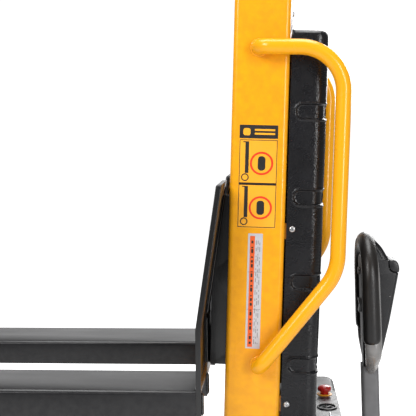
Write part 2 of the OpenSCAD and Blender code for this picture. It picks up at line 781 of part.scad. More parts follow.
module throttle() color(black) on_pod() translate([throttle_x, 0, throttle_z]) {
  rod_y(0, 0, -pod_y - 2, pod_y + 2, 6);
  both_sides() {
    rod_y(0, 0, pod_y + 1, pod_y + 28, 12);
    box(-5, 5, pod_y + 2, pod_y + 27, -30, 30);
  }
}

module lift_rocker() color("dimgray") on_pod() translate([rocker_x, 0, rocker_z]) {
  profile_y(-14, 14, [[-8, 0], [-11, -17], [4, -17], [4, 17], [-11, 17]]);
  rod_y(0, 0, -17, 17, 2);
}

module horn_button() color("dimgray") on_pod() rod_x(0, horn_z, pod_front - 5, -9, 10);

module belly_button() color(charcoal) on_pod() translate([0, 0, belly_z]) {
  profile_y(-pod_y + 2, pod_y - 2, [[60, -18], [83, -18], [87, -10], [84, 12], [78, 16], [60, 16]]);
  rod_x(0, 0, 30, 61, 6);
}

chassis_frame();
left_leg();
right_leg();
load_roller_axles();
left_mast_channel();
right_mast_channel();
mast_top_plate();
mast_ties();
left_handle();
right_handle();
mast_cover();
cover_tabs();
cover_screws();
mast_screen();
hood();
battery();
pump_motor();
oil_tank();
motor_controller();
lift_barrel();
cylinder_gland();
rear_chains();
steer_ring();
charge_gauge();
charger_socket();
lift_rod();
crosshead();
sheave_pin();
chain_wraps();
chain_sheaves();
carriage_frame();
apron();
left_fork();
right_fork();
roller_pins();
front_chains();
upper_rollers();
lower_rollers();
left_load_roller();
right_load_roller();
left_caster_fork();
left_caster_wheel();
right_caster_fork();
right_caster_wheel();
drive_gearbox();
drive_motor();
tiller_base();
pivot_pins();
drive_hub();
drive_tyre();
tiller_arm();
head_loop();
grips();
head_pod();
throttle();
lift_rocker();
horn_button();
belly_button();
key_switch();
stop_button();
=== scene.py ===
"""Looks of the electric stacker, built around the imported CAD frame."""

import math

import bmesh
import bpy
from mathutils import Matrix, Vector


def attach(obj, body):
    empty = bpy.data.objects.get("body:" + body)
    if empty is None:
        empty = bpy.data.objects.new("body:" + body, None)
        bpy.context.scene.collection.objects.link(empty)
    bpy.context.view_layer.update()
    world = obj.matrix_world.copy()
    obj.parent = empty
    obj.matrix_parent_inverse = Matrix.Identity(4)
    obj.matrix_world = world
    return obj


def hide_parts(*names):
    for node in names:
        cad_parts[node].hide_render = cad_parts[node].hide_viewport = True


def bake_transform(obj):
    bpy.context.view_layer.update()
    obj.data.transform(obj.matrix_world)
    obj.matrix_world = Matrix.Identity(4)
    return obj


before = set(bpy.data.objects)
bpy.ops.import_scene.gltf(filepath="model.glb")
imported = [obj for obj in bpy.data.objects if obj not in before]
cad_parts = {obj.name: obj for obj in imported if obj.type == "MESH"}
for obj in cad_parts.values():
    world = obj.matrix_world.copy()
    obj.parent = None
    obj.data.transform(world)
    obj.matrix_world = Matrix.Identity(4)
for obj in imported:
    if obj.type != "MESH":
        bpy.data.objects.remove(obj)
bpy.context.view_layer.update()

MM = 0.001
scene = bpy.context.scene


# ---------------------------------------------------------------- frames, in millimetres
def placed(x, z, lean):
    """A frame in millimetres at (x, 0, z), leaning back by degrees about y."""
    return (Matrix.Translation((x * MM, 0, z * MM)) @ Matrix.Rotation(math.radians(lean), 4, "Y")
            @ Matrix.Scale(MM, 4))


RAKE, LEAN = 2.05, 1.7  # of the mast to the rear, and of the tiller to the front, in degrees
MAST_X, STEER_X, FORK_Z, HEEL_X = 342.5, 727.5, 930, 282.5
WORLD = Matrix.Scale(MM, 4)
MAST = placed(MAST_X, FORK_Z, RAKE)
TILLER = placed(STEER_X, 400, -LEAN)
POD = TILLER @ Matrix.Translation((0, 0, 509.98))


# ---------------------------------------------------------------- node materials
class Nodes:
    """A small helper that adds and links shader nodes."""

    def __init__(self, name):
        self.mat = bpy.data.materials.new(name)
        self.mat.use_nodes = True
        self.tree = self.mat.node_tree
        self.bsdf = self.tree.nodes["Principled BSDF"]
        self.where = self.add("ShaderNodeTexCoord").outputs["Object"]

    def add(self, kind, **values):
        node = self.tree.nodes.new(kind)
        for key, value in values.items():
            if hasattr(node, key):
                setattr(node, key, value)
            else:
                node.inputs[key.replace("_", " ")].default_value = value
        return node

    def link(self, a, b):
        self.tree.links.new(a, b)

    def stretched(self, scale):
        node = self.add("ShaderNodeMapping")
        node.inputs["Scale"].default_value = scale
        self.link(self.where, node.inputs["Vector"])
        return node.outputs["Vector"]

    def noise(self, scale, detail=3, stretch=None):
        node = self.add("ShaderNodeTexNoise", Scale=scale, Detail=detail)
        self.link(self.stretched(stretch) if stretch else self.where, node.inputs["Vector"])
        return node.outputs["Fac"]

    def cells(self, scale, feature):
        node = self.add("ShaderNodeTexVoronoi", feature=feature, Scale=scale)
        self.link(self.where, node.inputs["Vector"])
        return node.outputs["Distance"]

    def span(self, value, low, high, start=0.35, end=0.65):
        node = self.add("ShaderNodeMapRange")
        for key, number in (("From Min", start), ("From Max", end), ("To Min", low), ("To Max", high)):
            node.inputs[key].default_value = number
        self.link(value, node.inputs["Value"])
        return node.outputs["Result"]

    def blend(self, share, a, b):
        node = self.add("ShaderNodeMix", data_type="RGBA")
        for socket, colour in ((node.inputs[6], a), (node.inputs[7], b)):
            if isinstance(colour, tuple):
                socket.default_value = (*colour, 1)
            else:
                self.link(colour, socket)
        self.link(share, node.inputs[0])
        return node.outputs[2]

    def bump(self, height, strength, distance, below=None):
        node = self.add("ShaderNodeBump", Strength=strength, Distance=distance)
        self.link(height, node.inputs["Height"])
        if below:
            self.link(below, node.inputs["Normal"])
        return node.outputs["Normal"]


def finish_of(name, colour, tint, rough, metal=0.0, coat=0.0, coat_rough=0.08, patch=9.0, grain=(),
              stretch=None, wear=None, level=0.5, speck=None):
    """A surface: two tones in soft patches, uneven gloss, layers of relief, and worn edges."""
    n = Nodes(name)
    soft = n.span(n.noise(patch, 4, stretch), 0, 1)
    tone = n.blend(soft, colour, tint)
    if speck:
        amount, shade = speck
        dust = n.span(n.noise(420, 2), 0, amount, 0.6, 0.75)
        tone = n.blend(dust, tone, shade)
    if wear:
        edge = n.add("ShaderNodeNewGeometry").outputs["Pointiness"]
        broken = n.add("ShaderNodeMath", operation="MULTIPLY")
        n.link(n.span(edge, 0, 1, 0.53, 0.6), broken.inputs[0])
        n.link(n.span(n.noise(60, 4), 0, 0.8), broken.inputs[1])
        tone = n.blend(broken.outputs[0], tone, wear)
    n.link(tone, n.bsdf.inputs["Base Color"])
    n.link(n.span(n.noise(patch * 2.3, 5, stretch), rough[0], rough[1]), n.bsdf.inputs["Roughness"])
    n.bsdf.inputs["Metallic"].default_value = metal
    n.bsdf.inputs["Coat Weight"].default_value = coat
    n.bsdf.inputs["Coat Roughness"].default_value = coat_rough
    n.bsdf.inputs["Specular IOR Level"].default_value = level
    relief = None
    for kind, scale, strength, distance in grain:
        height = n.cells(scale, kind) if kind in ("F1", "SMOOTH_F1") else n.noise(scale, 3, stretch)
        relief = n.bump(height, strength, distance * MM, relief)
    if relief:
        n.link(relief, n.bsdf.inputs["Normal"])
        n.link(relief, n.bsdf.inputs["Coat Normal"])
    return n.mat


PEEL = ("noise", 260, 0.05, 0.12)
YELLOW = finish_of("yellow_coat", (0.95, 0.415, 0.007), (0.942, 0.41, 0.0068), (0.25, 0.28), coat=0.3,
                   coat_rough=0.07, patch=2.0, grain=[PEEL], wear=(0.85, 0.35, 0.01), level=0.3)
BLACK = finish_of("black_coat", (0.0065, 0.0065, 0.007), (0.008, 0.0078, 0.008), (0.24, 0.27), coat=0.3,
                  coat_rough=0.1, patch=5.0, grain=[PEEL], wear=(0.045, 0.042, 0.04),
                  speck=(0.2, (0.035, 0.035, 0.035)))
FORK = finish_of("fork_coat", (0.006, 0.006, 0.0072), (0.009, 0.0088, 0.0102), (0.3, 0.36), coat=0.15,
                 coat_rough=0.2, patch=7.0, grain=[("noise", 320, 0.1, 0.2)],
                 stretch=(0.25, 1, 1), wear=(0.05, 0.048, 0.048), level=0.4,
                 speck=(0.2, (0.03, 0.03, 0.03)))
GRAINED = finish_of("grained_plastic", (0.004, 0.004, 0.0052), (0.0075, 0.0075, 0.0095), (0.24, 0.32),
                    patch=14.0, coat=0.3, coat_rough=0.13, level=0.3,
                    grain=[("SMOOTH_F1", 330, 0.8, 0.7), ("noise", 620, 0.5, 0.35)],
                    speck=(0.3, (0.03, 0.03, 0.035)))
HOOD = finish_of("hood_plastic", (0.009, 0.009, 0.0105), (0.013, 0.013, 0.015), (0.36, 0.46), patch=8.0,
                 grain=[("SMOOTH_F1", 420, 0.5, 0.4), ("noise", 700, 0.2, 0.2)])
POD_SKIN = finish_of("pod_plastic", (0.009, 0.009, 0.0108), (0.013, 0.013, 0.015), (0.36, 0.46),
                     patch=20.0, grain=[("SMOOTH_F1", 900, 0.5, 0.25), ("noise", 1400, 0.3, 0.1)],
                     speck=(0.3, (0.1, 0.1, 0.1)))
RUBBER = finish_of("grip_rubber", (0.007, 0.0065, 0.0065), (0.012, 0.0098, 0.0085), (0.34, 0.44),
                   patch=16.0, coat=0.15, coat_rough=0.3, grain=[("noise", 900, 0.16, 0.1)])
SHELL = finish_of("handle_shell", (0.25, 0.245, 0.24), (0.2, 0.196, 0.193), (0.22, 0.32), patch=18.0,
                  coat=0.3, coat_rough=0.2, grain=[("noise", 800, 0.12, 0.1)])
CONTROL = finish_of("control_plastic", (0.018, 0.018, 0.02), (0.026, 0.026, 0.028), (0.25, 0.36),
                    patch=30.0, grain=[("noise", 1500, 0.2, 0.08)])
LEVER = finish_of("lever_plastic", (0.55, 0.545, 0.54), (0.5, 0.495, 0.49), (0.3, 0.4), patch=30.0,
                  grain=[("noise", 1500, 0.2, 0.08)])
STEEL = finish_of("bright_steel", (0.62, 0.62, 0.63), (0.5, 0.5, 0.51), (0.2, 0.36), metal=1.0,
                  patch=30.0, grain=[("noise", 500, 0.12, 0.1)], stretch=(1, 1, 6))
CHAIN = finish_of("chain_steel", (0.20, 0.185, 0.17), (0.10, 0.095, 0.09), (0.3, 0.5), metal=0.9,
                  patch=60.0, grain=[("noise", 500, 0.2, 0.2)])
CAST = finish_of("cast_grey", (0.17, 0.17, 0.175), (0.13, 0.13, 0.135), (0.45, 0.6), patch=20.0,
                 grain=[("noise", 260, 0.5, 0.6), ("F1", 420, 0.3, 0.4)], wear=(0.3, 0.3, 0.3))
TYRE = finish_of("tyre_poly", (0.05, 0.04, 0.032), (0.065, 0.052, 0.042), (0.45, 0.6), patch=25.0,
                 grain=[("noise", 180, 0.25, 0.5)], speck=(0.4, (0.16, 0.15, 0.13)))
RED = finish_of("red_plastic", (0.55, 0.016, 0.012), (0.48, 0.014, 0.011), (0.22, 0.34), patch=40.0,
                coat=0.3, grain=[("noise", 1200, 0.15, 0.08)])
CASE = finish_of("battery_case", (0.03, 0.03, 0.034), (0.042, 0.042, 0.046), (0.42, 0.56), patch=14.0,
                 grain=[("SMOOTH_F1", 500, 0.4, 0.3)])


def film_of(name, colour, tint, rough=(0.3, 0.4), patch=40.0):
    """The printed film of a label."""
    return finish_of(name, colour, tint, rough, patch=patch, grain=[("noise", 900, 0.08, 0.1)])


FILM_BLACK = film_of("film_black", (0.016, 0.015, 0.015), (0.022, 0.02, 0.02))
FILM_YELLOW = film_of("film_yellow", (1.0, 0.45, 0.02), (0.98, 0.43, 0.018), (0.3, 0.42))
FILM_RED = film_of("film_red", (0.83, 0.045, 0.012), (0.8, 0.04, 0.01))
FILM_ORANGE = film_of("film_orange", (0.86, 0.13, 0.022), (0.83, 0.12, 0.02), (0.32, 0.42))
FILM_GREY = film_of("film_grey", (0.6, 0.59, 0.61), (0.56, 0.55, 0.58), (0.32, 0.42))
FILM_LINE = film_of("film_line", (0.25, 0.24, 0.25), (0.21, 0.2, 0.21), (0.35, 0.45), 60.0)


def clear_material():
    n = Nodes("clear_sheet")
    haze = n.span(n.noise(12, 4), 0.04, 0.12)
    n.link(haze, n.bsdf.inputs["Roughness"])
    n.link(n.blend(n.span(n.noise(40, 3), 0, 1), (0.9, 0.93, 0.95), (0.84, 0.88, 0.9)),
           n.bsdf.inputs["Base Color"])
    n.bsdf.inputs["Transmission Weight"].default_value = 1.0
    n.bsdf.inputs["IOR"].default_value = 1.2
    return n.mat


CLEAR = clear_material()


# ---------------------------------------------------------------- shapes: (points, faces)
def loft(rings, closed=True, capped=True):
    """Quads between rings of equally many points; the ends are closed by flat faces."""
    count = len(rings[0])
    points = [p for ring in rings for p in ring]
    faces = []
    for i in range(len(rings) - 1):
        for j in range(count if closed else count - 1):
            k = (j + 1) % count
            faces.append((i * count + j, i * count + k, (i + 1) * count + k, (i + 1) * count + j))
    if capped:
        faces.append(tuple(reversed(range(count))))
        faces.append(tuple((len(rings) - 1) * count + j for j in range(count)))
    return points, faces


def ringed(rings):
    """A loft whose last ring joins its first."""
    points, faces = loft(rings, capped=False)
    count, last = len(rings[0]), (len(rings) - 1) * len(rings[0])
    faces += [(last + j, last + (j + 1) % count, (j + 1) % count, j) for j in range(count)]
    return points, faces


def ringed_shell(outside, inside):
    """Outside rings from the rim up, then inside rings back down: one closed thin shell."""
    points, faces = loft(outside + inside, capped=False)
    count, top = len(outside[0]), len(outside) - 1
    faces = [f for f in faces if not (f[0] // count == top and f[2] // count == top + 1)]
    faces.append(tuple(top * count + j for j in range(count)))
    faces.append(tuple((top + 1) * count + j for j in reversed(range(count))))
    last = (len(outside) + len(inside) - 1) * count
    faces += [(last + j, last + (j + 1) % count, (j + 1) % count, j) for j in range(count)]
    return points, faces


def joined(shapes):
    """Several shapes as one."""
    points, faces = [], []
    for p, f in shapes:
        base = len(points)
        points += p
        faces += [tuple(i + base for i in face) for face in f]
    return points, faces


def moved(shape, matrix):
    """The same shape under a transform."""
    return [tuple(matrix @ Vector(p)) for p in shape[0]], shape[1]


def circle(r, n=32, a=None):
    """n points of a circle, or of an ellipse with half-axes r and a."""
    a = r if a is None else a
    return [(r * math.cos(2 * math.pi * i / n), a * math.sin(2 * math.pi * i / n)) for i in range(n)]


def hexagon(across, n=24):
    """n points along a hexagon with that width across its flats."""
    out = []
    for i in range(n):
        t = 2 * math.pi * i / n
        sector = (t + math.pi / 6) % (math.pi / 3) - math.pi / 6
        r = across / 2 / math.cos(sector)
        out.append((r * math.cos(t), r * math.sin(t)))
    return out


def rect(x0, x1, y0, y1, r, n=6):
    """Rectangle with round corners, counter-clockwise."""
    out = []
    for cx, cy, start in ((x1 - r, y1 - r, 0), (x0 + r, y1 - r, 90), (x0 + r, y0 + r, 180),
                          (x1 - r, y0 + r, 270)):
        for k in range(n + 1):
            a = math.radians(start + 90 * k / n)
            out.append((cx + r * math.cos(a), cy + r * math.sin(a)))
    return out


def lathe(profile, n=64):
    """A closed profile of (radius, height) points, all off the axis, turned about z."""
    return ringed([[(r * math.cos(2 * math.pi * i / n), r * math.sin(2 * math.pi * i / n), h)
                    for r, h in profile] for i in range(n)])


def sweep(path, section, normal):
    """Section points (u, v) along a path: u lies on normal, v square to it and to the path."""
    normal = Vector(normal).normalized()
    rings = []
    for i, p in enumerate(path):
        before, after = Vector(path[max(i - 1, 0)]), Vector(path[min(i + 1, len(path) - 1)])
        along = (after - before).normalized()
        side = along.cross(normal).normalized()
        outline = section(i) if callable(section) else section
        rings.append([tuple(Vector(p) + normal * u + side * v) for u, v in outline])
    return loft(rings)


def smooth(t):
    """0 up to t = 0, 1 from t = 1, and a smooth step between."""
    t = min(max(t, 0.0), 1.0)
    return t * t * (3 - 2 * t)


def lerp(table, x):
    """Value at x of a table [(x, value), ...], in straight lines between its rows."""
    if x <= table[0][0]:
        return table[0][1]
    for (a, va), (b, vb) in zip(table, table[1:]):
        if x <= b:
            return va + (vb - va) * (x - a) / (b - a)
    return table[-1][1]


def rounded_path(points, radii, step=4.0):
    """The path through points with circular bends, in even short steps."""
    out = [Vector(points[0])]
    for i in range(1, len(points) - 1):
        a, b, c = Vector(points[i - 1]), Vector(points[i]), Vector(points[i + 1])
        d, e = (b - a).normalized(), (c - b).normalized()
        angle = d.angle(e)
        trim = radii[i] * math.tan(angle / 2)
        start, inward = b - d * trim, (e - d * d.dot(e)).normalized()
        centre = start + inward * radii[i]
        count = max(4, int(radii[i] * angle / step))
        for k in range(count + 1):
            t = angle * k / count
            out.append(centre - inward * radii[i] * math.cos(t) + d * radii[i] * math.sin(t))
    out.append(Vector(points[-1]))
    even = [out[0]]
    for a, b in zip(out, out[1:]):
        if (b - a).length < 1e-6:
            continue
        count = max(1, round((b - a).length / step))
        even += [a.lerp(b, k / count) for k in range(1, count + 1)]
    return even


# ---------------------------------------------------------------- pieces
def piece(name, shape, mat, body, space=WORLD, nodes=(), sharp=38):
    """A mesh object that rides on a body, in place of the named CAD nodes."""
    mesh = bpy.data.meshes.new(name)
    mesh.from_pydata([space @ Vector(p) for p in shape[0]], [], shape[1])
    bm = bmesh.new()
    bm.from_mesh(mesh)
    bmesh.ops.remove_doubles(bm, verts=bm.verts, dist=0.01 * MM)
    bmesh.ops.recalc_face_normals(bm, faces=bm.faces)
    bm.to_mesh(mesh)
    bm.free()
    mesh.shade_smooth()
    mesh.set_sharp_from_angle(angle=math.radians(sharp))
    mesh.materials.append(mat)
    made = bpy.data.objects.new(name, mesh)
    scene.collection.objects.link(made)
    if body:
        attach(made, body)
    if nodes:
        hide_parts(*nodes)
    return made


SOLIDS = {
    "yellow": (YELLOW, "chassis_frame left_mast_channel right_mast_channel mast_top_plate mast_ties "
               "left_handle right_handle cover_tabs"),
    "black": (BLACK, "left_leg right_leg carriage_frame apron lift_barrel crosshead left_caster_fork "
              "right_caster_fork drive_motor"),
    "fork": (FORK, "left_fork right_fork"),
    "steel": (STEEL, "load_roller_axles cylinder_gland lift_rod sheave_pin chain_sheaves roller_pins "
              "upper_rollers lower_rollers pump_motor drive_hub steer_ring pivot_pins key_switch"),
    "cast": (CAST, "drive_gearbox tiller_base tiller_arm oil_tank"),
    "case": (CASE, "battery motor_controller charger_socket"),
    "control": (CONTROL, "charge_gauge lift_rocker horn_button"),
    "clear": (CLEAR, "mast_screen"),
}
# Width of the broken edge on nodes that keep their CAD mesh
EDGES = {"chassis_frame": 1.5, "mast_top_plate": 1.2, "mast_ties": 1.0, "cover_tabs": 0.6,
         "carriage_frame": 1.5, "apron": 1.4, "crosshead": 1.5, "tiller_base": 1.0, "tiller_arm": 2.0,
         "battery": 2.0, "motor_controller": 1.5, "oil_tank": 2.0, "key_switch": 0.5, "lift_rocker": 1.2,
         "left_caster_fork": 0.8, "right_caster_fork": 0.8, "left_leg": 1.0, "right_leg": 1.0,
         "left_fork": 0.8, "right_fork": 0.8, "drive_motor": 2.0, "drive_gearbox": 2.0,
         "lift_barrel": 1.0, "cylinder_gland": 1.5, "horn_button": 1.0, "charge_gauge": 0.8,
         "charger_socket": 0.8, "mast_screen": 0.5, "steer_ring": 1.0}
for mat, names in SOLIDS.values():
    for name in names.split():
        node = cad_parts[name]
        node.data.materials.clear()
        node.data.materials.append(mat)
        if name in EDGES:
            weld = node.modifiers.new("weld", "WELD")
            weld.merge_threshold = 0.01 * MM
            cut = node.modifiers.new("edge", "BEVEL")
            cut.width, cut.segments, cut.limit_method = EDGES[name] * MM, 2, "ANGLE"
            cut.angle_limit = math.radians(35)
            cut.use_clamp_overlap, cut.harden_normals = True, False
        node.data.shade_smooth()
        node.data.set_sharp_from_angle(angle=math.radians(32))


# ---------------------------------------------------------------- mast cover
COVER_X0, COVER_X1, COVER_Y, COVER_R, COVER_WALL = 137, 223, 215, 28, 6
COVER_LOW, COVER_HIGH = -128, 836
COVER_INSET = 1.75 * COVER_WALL  # the inner face clears the bottoms of the pockets
COVER_TOP_R, COVER_FOOT_R = 14, 3
# Pockets across the rear corner: heights, middle and half length along the outline, half height, corner
POCKET_PITCH = 203
POCKETS = [37 + POCKET_PITCH * k for k in range(4)]
POCKET_S, POCKET_HALF, POCKET_RISE, POCKET_R = 74, 59, 17.5, 15


def cover_line():
    """(x, y, outward x, outward y, distance from the front edge) along the left half of the outline."""
    straight = COVER_X1 - COVER_R - COVER_X0
    out = [(COVER_X0 + straight * k / 20, -COVER_Y, 0, -1, straight * k / 20) for k in range(21)]
    for k in range(1, 15):
        a = math.radians(90 * k / 14)
        out.append((COVER_X1 - COVER_R + COVER_R * math.sin(a), -COVER_Y + COVER_R - COVER_R * math.cos(a),
                    math.sin(a), -math.cos(a), straight + COVER_R * a))
    corner_end = straight + COVER_R * math.pi / 2
    for step in (4, 8, 12, 16, 20, 24, 28, 34, 42, 56, 75, 100, 130, 160, 187):
        out.append((COVER_X1, -COVER_Y + COVER_R + step, 1, 0, corner_end + step))
    return out


def pocket_relief(s, z):
    """Height of the moulded surface over the plain outline: sunk pockets, each with a rolled lip."""
    height = 0.0
    for centre in POCKETS:
        ds, dz = abs(s - POCKET_S) - (POCKET_HALF - POCKET_R), abs(z - centre) - (POCKET_RISE - POCKET_R)
        gap = math.hypot(max(ds, 0), max(dz, 0)) + min(max(ds, dz), 0) - POCKET_R
        height -= 4.4 * smooth((1.0 - gap) / 4)
        height += 2.0 * math.exp(-((gap - 2.4) / 1.9) ** 2)
    return height


def cover_levels():
    """Heights of the cover's rings: close together at its ends and its pockets."""
    levels = {COVER_LOW + k for k in (0, 1, 3, 6, 10)}
    levels.update(COVER_HIGH - k for k in (0, 1, 2, 4, 6, 9, 12, 16))
    levels.update(COVER_LOW + (COVER_HIGH - COVER_LOW) * k / 41 for k in range(1, 41))
    for centre in POCKETS:
        levels.update(centre + 1.3 * k for k in range(-22, 23))
    ordered = []
    for z in sorted(levels):
        if not ordered or z - ordered[-1] > 0.7:
            ordered.append(z)
    return ordered


def cover_shape():
    """A shell open at the front and bottom, with a rounded top and sunk pockets."""
    half = cover_line()
    line = half + [(x, -y, nx, -ny, s) for x, y, nx, ny, s in reversed(half[:-1])]
    outer, inner = [], []
    for z in cover_levels():
        close = max(0.0, COVER_TOP_R - (COVER_HIGH - z))
        turn_in = COVER_TOP_R - math.sqrt(max(COVER_TOP_R ** 2 - close ** 2, 0))
        low = max(0.0, COVER_FOOT_R - (z - COVER_LOW))
        turn_in += COVER_FOOT_R - math.sqrt(COVER_FOOT_R ** 2 - low ** 2)
        ring_out, ring_in = [], []
        for x, y, nx, ny, s in line:
            edge = smooth((s - 1) / 5)
            bow = 0.9 * math.sin(math.pi * ((z - POCKETS[0]) / POCKET_PITCH % 1)) * smooth((s - 8) / 30)
            h = pocket_relief(s, z) * edge + bow - turn_in * edge
            ring_out.append((x + nx * h, y + ny * h, z))
            ring_in.append((x - nx * COVER_INSET, y - ny * COVER_INSET, min(z, COVER_HIGH - COVER_WALL)))
        outer.append(ring_out)
        inner.append(ring_in)
    rows, count, faces = len(outer), len(line), []
    points = [p for ring in outer + inner for p in ring]
    inside = rows * count
    for i in range(rows - 1):
        for j in range(count - 1):
            a, d = i * count + j, (i + 1) * count + j
            b, c = a + 1, d + 1
            faces.append((a, b, c, d))
            faces.append((inside + d, inside + c, inside + b, inside + a))
        for j in (0, count - 1):
            a, d = i * count + j, (i + 1) * count + j
            faces.append((a, d, inside + d, inside + a) if j == 0 else (d, a, inside + a, inside + d))
    for j in range(count - 1):
        faces.append((j + 1, j, inside + j, inside + j + 1))
    # The closed top: straight bands from side to side, above and below
    top, under = (rows - 1) * count, inside + (rows - 1) * count
    for j in range(count // 2):
        k = count - 1 - j
        if k - j > 2:
            faces.append((top + j, top + j + 1, top + k - 1, top + k))
            faces.append((under + j + 1, under + j, under + k, under + k - 1))
        elif k - j == 2:
            faces.append((top + j, top + j + 1, top + k))
            faces.append((under + j + 1, under + j, under + k))
    faces.append((top, top + count - 1, under + count - 1, under))
    return points, faces


piece("cover_moulding", cover_shape(), GRAINED, "chassis", MAST, ["mast_cover"], sharp=60)


# ---------------------------------------------------------------- screws and bolts
def socket_screw(r=7.5, height=4.0, socket=5.0):
    """A domed screw head with a hexagon socket, on z = 0."""
    rings = [(circle(r, 24), 0), (circle(r, 24), height * 0.35), (circle(r * 0.94, 24), height * 0.6),
             (circle(r * 0.8, 24), height * 0.85), (circle(r * 0.55, 24), height),
             (hexagon(socket), height * 0.97), (hexagon(socket), height * 0.3)]
    return loft([[(x, y, z) for x, y in ring] for ring, z in rings])


def hex_bolt(across=19.0, height=8.0):
    """A hexagon head on its washer, on z = 0."""
    washer = across * 0.62
    rings = [(circle(washer, 24), 0), (circle(washer, 24), 2.0), (circle(washer * 0.96, 24), 2.4),
             (hexagon(across), 2.5), (hexagon(across), height - 1.0), (circle(across * 0.47, 24), height)]
    return loft([[(x, y, z) for x, y in ring] for ring, z in rings])


FACE_LEFT = Matrix.Rotation(math.radians(90), 4, "X")
FACE_RIGHT = Matrix.Rotation(math.radians(-90), 4, "X")
FACE_BACK = Matrix.Rotation(math.radians(90), 4, "Y")


def spots(shape, places, turn=Matrix.Identity(4)):
    """Copies of a shape, turned and set at each place."""
    return joined([moved(shape, Matrix.Translation(p) @ turn) for p in places])


def polar(count, radius, start, z):
    """Places evenly round the steering axis."""
    angles = [math.radians(360 / count * k + start) for k in range(count)]
    return [(STEER_X + radius * math.cos(a), radius * math.sin(a), z) for a in angles]


screw = socket_screw()
cover_fixings = joined([
    spots(screw, [(151, -COVER_Y, z) for z in (-60, 367, 797)], FACE_LEFT),
    spots(screw, [(151, COVER_Y, z) for z in (-60, 367, 797)], FACE_RIGHT),
    spots(screw, [(137, s * 182, z) for s in (-1, 1) for z in (876, 1090)], FACE_BACK)])
piece("cover_fixings", cover_fixings, STEEL, "chassis", MAST, ["cover_screws"])
frame_bolts = joined([
    spots(hex_bolt(), polar(6, 105, 30, 330)),
    spots(hex_bolt(17, 7), [(x, -330, 200) for x in (560, 800)], FACE_LEFT),
    spots(hex_bolt(17, 7), [(x, 330, 200) for x in (560, 800)], FACE_RIGHT)])
piece("frame_bolts", frame_bolts, STEEL, "chassis", WORLD)
piece("ring_bolts", spots(hex_bolt(10, 5), polar(8, 79, 0, 340)), STEEL, "chassis", WORLD)


# ---------------------------------------------------------------- weld beads
def bead(path, r, normal, pitch=3.2):
    """A ripple weld: a bead whose size swells and shrinks along its path."""
    length, walk = 0.0, [0.0]
    for a, b in zip(path, path[1:]):
        length += (Vector(b) - Vector(a)).length
        walk.append(length)

    def ring(i):
        end = smooth(min(walk[i], length - walk[i]) / (r * 1.2))
        size = r * (0.35 + 0.65 * end) * (0.86 + 0.14 * abs(math.sin(math.pi * walk[i] / pitch)))
        return circle(size, 10)
    return sweep(path, ring, normal)


def line(a, b, step=0.9):
    """Points from a to b in short even steps."""
    a, b = Vector(a), Vector(b)
    count = max(2, int((b - a).length / step))
    return [a.lerp(b, k / count) for k in range(count + 1)]


def round_bead(x, y, z, radius=18.5, r=3.6):
    """A closed ring of weld round the end of a grab handle, which runs along y there."""
    n = int(2 * math.pi * radius / 1.1)
    rings = []
    for i in range(n):
        t = 2 * math.pi * i / n
        size = r * (0.84 + 0.16 * abs(math.sin(n * 0.17 * t)))
        rings.append([(x + (radius + u) * math.cos(t), y + v, z + (radius + u) * math.sin(t))
                      for u, v in circle(size, 10)])
    return ringed(rings)


for side, s in (("left", -1), ("right", 1)):
    feet = [round_bead(61, s * 226, 791), round_bead(80, s * 226, 38)]
    piece(side + "_handle_welds", joined(feet), YELLOW, "chassis", MAST)
    beads = [bead(line((HEEL_X + 13.5, y, 872), (HEEL_X + 13.5, y, 926)), 4.5, (1, 0, 0))
             for y in (s * 158, s * 328)]
    beads.append(bead(line((HEEL_X - 1.0, s * 157, 931), (HEEL_X - 1.0, s * 329, 931)), 3.6, (0, 0, 1)))
    plate_y = s * 167
    beads.append(bead(line((HEEL_X + 13.5, plate_y, 955), (HEEL_X + 13.5, plate_y, 1068)), 3.0, (1, 0, 0)))
    beads.append(bead(line((HEEL_X + 15, plate_y, 1078), (HEEL_X + 61, plate_y, 1372)), 3.0, (1, 0, 0)))
    piece(side + "_carriage_welds", joined(beads), BLACK, "carriage", WORLD)


# ---------------------------------------------------------------- leaf chains
PITCH, CHAIN_R, CHAIN_Y = 15.875, 40.0, 55
RAIL_X, SHEAVE_Z = 66.5, 507.8
FRONT_LOW, REAR_LOW = 92, -56


def link_plate(y, thick=2.0):
    """One figure-of-eight side plate, a pitch long, centred on its pins."""
    outline = []
    for k in range(14):
        a = 2 * math.pi * k / 14
        x, z = math.cos(a), math.sin(a)
        waist = 0.82 + 0.18 * min(1.0, abs(z) * 1.6)
        stretch = math.copysign(PITCH / 2, z) if abs(z) > 0.1 else 0
        outline.append((5.0 * x * waist, 4.9 * z + stretch))
    return loft([[(x, y + half, z) for x, z in outline] for half in (-thick / 2, thick / 2)])


def link(odd):
    """Two plates inside, or three outside, side by side."""
    rows = (-2.3, 2.3) if odd else (-4.7, 0.0, 4.7)
    return joined([link_plate(y) for y in rows])


def chain_pin():
    ends = ((1.6, -7.8), (2.2, -7.2), (2.2, 7.2), (1.6, 7.8))
    return loft([[(x, y, z) for x, z in circle(r, 12)] for r, y in ends])


def strand(x, z0, z1):
    """A straight run of chain."""
    count = round((z1 - z0) / PITCH)
    pitch = (z1 - z0) / count
    parts = []
    for i in range(count):
        z = z0 + pitch * (i + 0.5)
        parts.append(moved(link(i % 2), Matrix.Translation((x, 0, z))))
        parts.append(moved(chain_pin(), Matrix.Translation((x, 0, z + PITCH / 2 - 0.4))))
    return joined(parts)


def both(shape):
    """The left and right chains."""
    return joined([moved(shape, Matrix.Translation((0, s * CHAIN_Y, 0))) for s in (-1, 1)])


